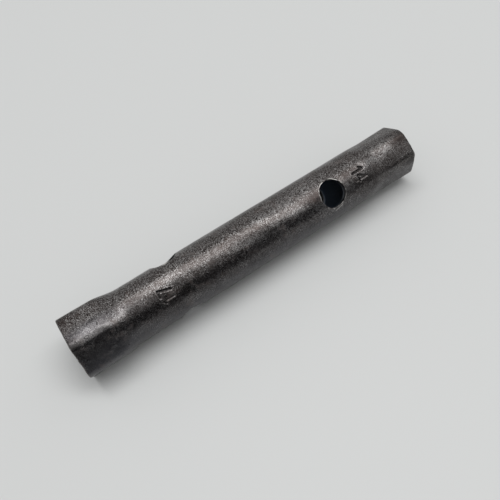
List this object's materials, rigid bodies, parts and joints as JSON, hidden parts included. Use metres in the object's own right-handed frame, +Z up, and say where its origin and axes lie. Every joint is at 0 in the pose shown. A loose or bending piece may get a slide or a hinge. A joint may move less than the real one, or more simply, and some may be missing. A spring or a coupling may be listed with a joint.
{
  "type": "tubular box wrench",
  "caption": "Worn steel tubular box wrench lying on its side, with a large and a small hexagon socket formed in its ends and round holes through both walls for a turning bar.",
  "frame": {"origin": "on the surface that the wrench lies on, straight under the middle of its length, in the plane of the large hexagon's lowest flat", "axes": "+X along the tube from the large hexagon to the small one, +Z up, +Y away from the side that shows the small end's cross hole"},
  "size_m": [0.1396, 0.0238, 0.0213],
  "materials": {
    "dark_steel": "dark, worn and finely pitted steel with bare bright patches and a little brown rust"
  },
  "bodies": {
    "root": {"box_wrench": "dark_steel"}
  },
  "joints": []
}
